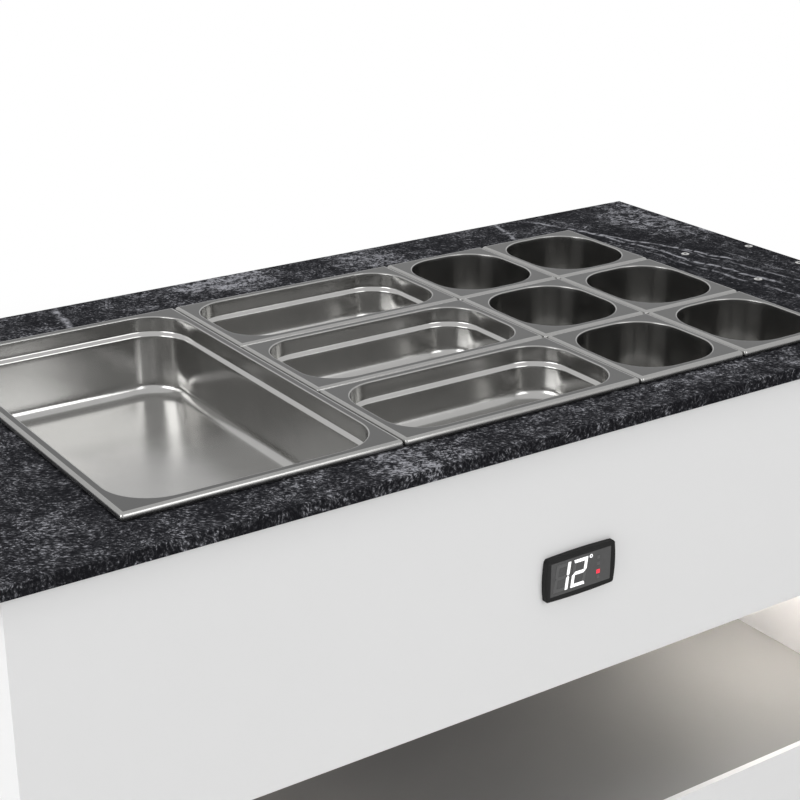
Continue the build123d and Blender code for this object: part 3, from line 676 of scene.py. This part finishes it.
reach = bezel_half[1] * 2
bezel_rows = np.array([
    (0, 0),
    (0, reach - bezel_roll - bezel_flat),
    *zip(bezel_roll * (1 - np.cos(arc)), reach - bezel_roll * (1 - np.sin(arc))),
    (bezel_roll + bezel_flat, reach),
    *((bezel_margin - short, reach - drop) for short, drop in window_bevel),
    (bezel_margin, reach - window_recess + window_ledge),
    (bezel_margin, reach - window_recess),
])
inset, rise = bezel_rows.T
plan = bezel_half[[0, 2]] - bezel_bow
window_bow = np.clip(1 - inset / bezel_margin, 0, 1)[:, None, None] * bezel_bow
corner = np.maximum(bezel_corner - inset, window_corner)
outline = bowed(rounded_ring(plan[0] - inset, plan[1] - inset, corner), *plan, window_bow)
rows, columns = outline.shape[:2]
level = np.broadcast_to(bezel_high[1] - rise[:, None], (rows, columns))
x, z = bezel_middle[0] + outline[..., 0], bezel_middle[2] + outline[..., 1]
points = np.stack([x, level, z], -1).reshape(-1, 3)
poles = [[bezel_middle[0], depth, bezel_middle[2]] for depth in (bezel_high[1], level[-1, 0])]
points = np.concatenate([points, poles])
faces = capped_faces(rows, columns)
bezel = new_piece("controller_frame", points, outward(points, faces), bezel_black, sharp=35.0)
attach(bezel, "island")
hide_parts("controller_bezel")

smoked, place = new_finish("smoked_window", {"Specular IOR Level": 0.4})
film = place.noise(120, 3.0)
feed(smoked, {
    "Base Color": film.between(grey(0.06), grey(0.07)),
    "Roughness": 0.22 + 0.06 * film,
})
dress(smoked, "controller_window")

digit_width = 20.2
digit_height = 33.2
digit_stroke = 4.0
digit_lean = 0.13
digit_left = (-39.2, -14.8)
digit_low = -16.2
lamp_depth = 0.15
lamp_gap = 0.02
window_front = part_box("controller_window")[0].y / mm


def digit_bars(square_corners):
    """The seven bars of a digit as six corners each. At a square corner the upright bar runs to the
    end and the level bar stops against it; at any other the level bar is slanted to the corner.
    One quarter is drawn, and the others are its mirror images."""
    width, height, stroke = digit_width, digit_height, digit_stroke
    waist = (height + stroke) / 2

    def upright(corner):
        square = corner in square_corners
        top = (width - stroke, height) if square else (width - stroke / 2, height - stroke)
        tip = [(width, waist), (width - stroke / 2, height / 2), (width - stroke, waist)]
        return np.array([(width, height), *tip, (width - stroke, height - stroke), top])

    def level(left, right):
        first = (stroke, stroke) if left in square_corners else (0, stroke / 2)
        last = (stroke, stroke) if right in square_corners else (0, stroke / 2)
        outer = [(first[0], height), (width / 2, height), (width - last[0], height)]
        low = height - stroke
        inner = [(width - last[1], low), (width / 2, low), (first[1], low)]
        return np.array(outer + inner)

    def flip(bar, across, over):
        x = width - bar[:, 0] if across else bar[:, 0]
        y = height - bar[:, 1] if over else bar[:, 1]
        return np.stack([x, y], -1)

    middle = np.array([(stroke / 2, height / 2), (stroke, waist), (width - stroke, waist)])
    return {
        "a": level("top left", "top right"),
        "b": upright("top right"),
        "c": flip(upright("low right"), False, True),
        "d": flip(level("low left", "low right"), False, True),
        "e": flip(upright("low left"), True, True),
        "f": flip(upright("top left"), True, False),
        "g": np.concatenate([middle, flip(middle, True, True)]),
    }


def thin_plates(outlines):
    """Flat plates of the display's depth on the window, one for each outline of equal length:
    the outline in front, its copy behind and a band of quads between."""
    outlines = np.array(outlines)
    count, sides = outlines.shape[:2]
    x, z = bezel_middle[0] + outlines[..., 0], bezel_middle[2] + outlines[..., 1]
    front = np.stack([x, np.full(x.shape, window_front - lamp_depth), z], -1)
    behind = np.stack([x, np.full(x.shape, window_front - lamp_gap), z], -1)
    points = np.concatenate([front, behind], 1).reshape(-1, 3)
    k = np.arange(sides)
    beside = (k + 1) % sides
    faces = []
    for plate in range(count):
        base = plate * 2 * sides
        faces.append((base + k).tolist())
        faces.append((base + sides + k[::-1]).tolist())
        faces += np.stack([base + beside, base + k, base + sides + k, base + sides + beside], -1).tolist()
    return points, faces


def display_piece(name, outlines, material):
    """Plates of one colour on the window, riding with the island."""
    points, faces = thin_plates(outlines)
    data = bpy.data.meshes.new(name)
    data.from_pydata((points * mm).tolist(), [], faces)
    data.materials.append(material)
    piece = bpy.data.objects.new(name, data)
    bpy.context.scene.collection.objects.link(piece)
    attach(piece, "island")


digit_shapes = (
    (digit_left[0], "bc", ("top right", "low right")),
    (digit_left[1], "abged", ("top right", "low left")),
)
lit, unlit = [], []
for left, shown, square_corners in digit_shapes:
    for key, bar in digit_bars(square_corners).items():
        x = left + bar[:, 0] + digit_lean * bar[:, 1]
        (lit if key in shown else unlit).append(np.stack([x, digit_low + bar[:, 1]], -1))

white_lamp, place = new_finish("white_lamp", {"Emission Strength": 1.0, "Specular IOR Level": 0.1})
glow = place.noise(400, 2.0)
feed(white_lamp, {
    "Base Color": glow.between(grey(0.4), grey(0.5)),
    "Emission Color": glow.between(grey(0.9), grey(1.0)),
})
display_piece("digits_lit", lit, white_lamp)

dark_lamp, place = new_finish("dark_lamp", {"Specular IOR Level": 0.3, "Roughness": 0.3})
mist = place.noise(300, 2.0)
feed(dark_lamp, {"Base Color": mist.between(grey(0.092), grey(0.105))})
display_piece("digits_unlit", unlit, dark_lamp)

round_turn = np.linspace(0, 2 * np.pi, 28, endpoint=False)
degree_place = (14.0, 15.8)
degree_outer = 2.3
degree_inner = 1.1
degree_bars = []
for start, end in zip(round_turn, np.roll(round_turn, -1)):
    angle = np.array([start, end, end, start])
    radius = np.array([degree_outer, degree_outer, degree_inner, degree_inner])
    degree_bars.append(np.stack([radius * np.cos(angle), radius * np.sin(angle)], -1) + degree_place)
display_piece("degree_ring", degree_bars, white_lamp)

red_lamp, place = new_finish("red_lamp", {"Emission Strength": 1.0, "Specular IOR Level": 0.1})
glow = place.noise(500, 2.0)
feed(red_lamp, {
    "Base Color": glow.between((0.3, 0.02, 0.03, 1), (0.4, 0.03, 0.04, 1)),
    "Emission Color": glow.between((0.8, 0.03, 0.06, 1), (0.9, 0.05, 0.08, 1)),
})
dot_place = (25.0, -6.4)
dot_half = 2.5
spare_share = 0.8
spare_rises = (10.0, 18.0, -6.5)
square = np.array([[-1, -1], [1, -1], [1, 1], [-1, 1]]) * dot_half
display_piece("red_dot", [square + dot_place], red_lamp)
spare = [square * spare_share + (dot_place[0], dot_place[1] + rise) for rise in spare_rises]
display_piece("dark_dots", spare, dark_lamp)

# Service panel
# Powder-coated sheet with two banks of pressed louvres, one for the condenser's air and one for
# the compressor. It goes on last, held by cross-head screws along its edges, and the mains lead
# enters through a black gland beside the wiring box.

white_steel, place = new_finish("white_steel", {"Specular IOR Level": 0.4})
coat = place.noise(420, 2.0)
fade = place.noise(4, 2.0)
feed(white_steel, {
    "Base Color": fade.between(grey(0.74), grey(0.78)),
    "Roughness": 0.42 + 0.1 * fade,
    "Normal": coat.bump(0.18, 0.0001),
})
dress(white_steel, "service_panel")
dress(black_plastic, "cable_gland")

panel_low, panel_high = (np.array(v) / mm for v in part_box("service_panel"))
panel_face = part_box("fascia_back")[1].y / mm
screw_inset = 15.0
screw_radius = 4.6
screw_height = 2.4
screw_rim = 0.7
cross_half = 0.5
cross_reach = 2.4
cross_depth = 1.5
cross_wall = 0.3
cross_end = 0.4
screw_sides = 48
screw_rings = 18
screws_in_row = 5


def screw_head(centre):
    """A domed head on a polar grid: height h = rim + (H - rim) sqrt(1 - (r/R)^2), less a cross
    recess where the smaller of |x| and |z| is under the slot's half width; the back is flat."""
    angle = np.linspace(0, 2 * np.pi, screw_sides, endpoint=False)
    radius = np.append(np.linspace(cross_half / 2, screw_radius, screw_rings), screw_radius)[:, None]
    x, z = radius * np.cos(angle), radius * np.sin(angle)
    dome = screw_rim + (screw_height - screw_rim) * np.sqrt(1 - (radius / screw_radius) ** 2)
    away = np.clip((np.minimum(abs(x), abs(z)) - cross_half) / cross_wall, 0, 1)
    beyond = np.clip((radius - cross_reach) / cross_end, 0, 1)
    height = dome - cross_depth * (1 - np.maximum(away, beyond))
    height[-1] = 0
    points = np.stack([centre[0] + x, panel_face + height, centre[1] + z], -1)
    poles = [[centre[0], panel_face + height[0, 0], centre[1]], [centre[0], panel_face, centre[1]]]
    return np.concatenate([points.reshape(-1, 3), poles]), capped_faces(*points.shape[:2])


edge = panel_high[0] - screw_inset
levels = (panel_low[2] + screw_inset, panel_high[2] - screw_inset)
screw_places = [(x, z) for z in levels for x in np.linspace(-edge, edge, screws_in_row)]
screw_places += [(side * edge, sum(levels) / 2) for side in (-1, 1)]
for number, centre in enumerate(screw_places):
    points, faces = screw_head(centre)
    screw = new_piece(f"panel_screw_{number}", points, outward(points, faces), galvanised)
    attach(screw, "island")

# Post covers
# White coated sheet folded round the two front posts where they pass through the niche, clipped
# on between the end panels and the shelf. Behind the fascia it has no front, for want of room.

cover_sheet = 1.0
cover_gap = 0.1
cover_bend = 0.6
bend_points = 6
post_side = 30.0
post_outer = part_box("end_panel_right")[0].x / mm
post_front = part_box("end_panel_right")[0].y / mm
fascia_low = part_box("fascia_front")[0].z / mm
shelf_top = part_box("niche_shelf")[1].z / mm
ceiling_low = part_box("niche_ceiling")[0].z / mm


def folded_path(outset, bend, with_front):
    """The line of a sheet bent round a post at a distance from it: across its front, along its
    inner side and back across its rear, with a quarter circle at each bend."""
    near = post_outer - post_side - outset
    front, rear = post_front - outset, post_front + post_side + outset
    turn = np.linspace(0, np.pi / 2, bend_points)
    first = np.stack([near + bend - bend * np.sin(turn), front + bend - bend * np.cos(turn)], -1)
    second = np.stack([near + bend - bend * np.cos(turn), rear - bend + bend * np.sin(turn)], -1)
    start = [[post_outer - cover_gap, front]] if with_front else np.zeros((0, 2))
    first = first if with_front else [[near, post_front + cover_gap]]
    return np.concatenate([start, first, second, [[post_outer - cover_gap, rear]]])


def post_cover(name, side, low, high, with_front):
    """The folded sheet carried up from one height to another: each point of its line becomes a
    ring of four, outside and inside, below and above, and a face closes each end."""
    outer = folded_path(cover_gap + cover_sheet, cover_bend + cover_sheet, with_front)
    inner = folded_path(cover_gap, cover_bend, with_front)
    lines = np.stack([outer, outer, inner, inner], 1)
    levels = np.broadcast_to(np.array([low, high, high, low]), lines.shape[:2])
    points = np.stack([side * lines[..., 0], lines[..., 1], levels], -1).reshape(-1, 3)
    rows = len(lines)
    ends = [[0, 1, 2, 3], [4 * rows - 1, 4 * rows - 2, 4 * rows - 3, 4 * rows - 4]]
    faces = np.concatenate([grid_faces(rows, 4, False)[:, ::-1], ends])
    cover = new_piece(name, points, outward(points, faces), white_steel)
    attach(cover, "island")


for hand, side in (("left", -1), ("right", 1)):
    post_cover(f"post_cover_{hand}", side, shelf_top + cover_gap, fascia_low - cover_gap, True)
    post_cover(f"post_cover_{hand}_top", side, fascia_low - cover_gap, ceiling_low - cover_gap, False)

# Floor, light and camera
# A pale floor that turns to plain white away from the island, a white surround, four soft boxes
# and the photograph's view.

floor_half = 30.0
fade_start, fade_end = 1.4, 3.2
ambient = 0.5


def seen_rays(camera_ray):
    """1 for rays from the camera, off a mirror or through glass, and 0 for those that light."""
    seen = camera_ray
    for ray in ("Is Glossy Ray", "Is Transmission Ray"):
        seen = seen.math("MAXIMUM", seen, Wire(camera_ray.socket.node.outputs[ray]))
    return seen


floor_data = bpy.data.meshes.new("floor")
floor_corners = [(-floor_half, -floor_half, 0), (floor_half, -floor_half, 0)]
floor_corners += [(floor_half, floor_half, 0), (-floor_half, floor_half, 0)]
floor_data.from_pydata(floor_corners, [], [(0, 1, 2, 3)])
floor = bpy.data.objects.new("floor", floor_data)
bpy.context.scene.collection.objects.link(floor)
pale_floor, place = new_finish("pale_floor", {"Specular IOR Level": 0.1, "Roughness": 0.7})
pale_tone = place.noise(1.5, 2.0)
feed(pale_floor, {"Base Color": pale_tone.between(grey(0.78), grey(0.82))})
tree = pale_floor.node_tree
spread = place.node("VectorMath", {"operation": "LENGTH"}, {0: place}, out=1)
plain = place.node("Emission", {}, {"Color": grey(1.0), "Strength": 1.0})
lit_floor = Wire(tree.nodes["Principled BSDF"].outputs[0])
whiteness = seen_rays(place.node("LightPath")) * spread.ramp(fade_start, fade_end)
mixed = place.node("MixShader", {}, {0: whiteness, 1: lit_floor, 2: plain})
tree.links.new(mixed.socket, tree.nodes["Material Output"].inputs["Surface"])
floor_data.materials.append(pale_floor)

world = bpy.data.worlds.new("surround")
bpy.context.scene.world = world
world.use_nodes = True
surround = world.node_tree.nodes["Background"]
surround.inputs["Color"].default_value = grey(1.0)
camera_ray = Wire(world.node_tree.nodes.new("ShaderNodeLightPath").outputs["Is Camera Ray"])
strength = ambient + (1.0 - ambient) * seen_rays(camera_ray)
world.node_tree.links.new(strength.socket, surround.inputs["Strength"])


def soft_box(name, place, turn, size, power, mirrored=True):
    """A square area lamp with its place, its turn in degrees, its side and its watts. Polished
    steel shows it, unless it isn't mirrored."""
    lamp = bpy.data.lights.new(name, "AREA")
    lamp.shape = "SQUARE"
    lamp.size = size
    lamp.energy = power
    holder = bpy.data.objects.new(name, lamp)
    holder.location = place
    holder.rotation_euler = np.radians(turn)
    holder.visible_glossy = mirrored
    bpy.context.scene.collection.objects.link(holder)


soft_box("left_box", (-3.4, -0.5, 1.9), (72, 0, -81.5), 2.0, 60)
soft_box("front_box", (0.8, -3.6, 2.4), (65, 0, 12), 2.0, 40)
soft_box("back_box", (2.7, 3.1, 1.0), (83, 0, 139), 1.6, 32, mirrored=False)
soft_box("top_box", (0, -0.1, 3.2), (0, 0, 0), 2.4, 36, mirrored=False)

eye = bpy.data.cameras.new("eye")
eye.lens = 77.32
eye.sensor_width = 36.0
eye.clip_end = 100.0
viewer = bpy.data.objects.new("eye", eye)
viewer.location = (-1.0877, -1.6519, 1.6028)
viewer.rotation_euler = np.radians((68.502, 0.0, -33.961))
bpy.context.scene.collection.objects.link(viewer)
bpy.context.scene.camera = viewer
bpy.context.scene.view_settings.view_transform = "Standard"
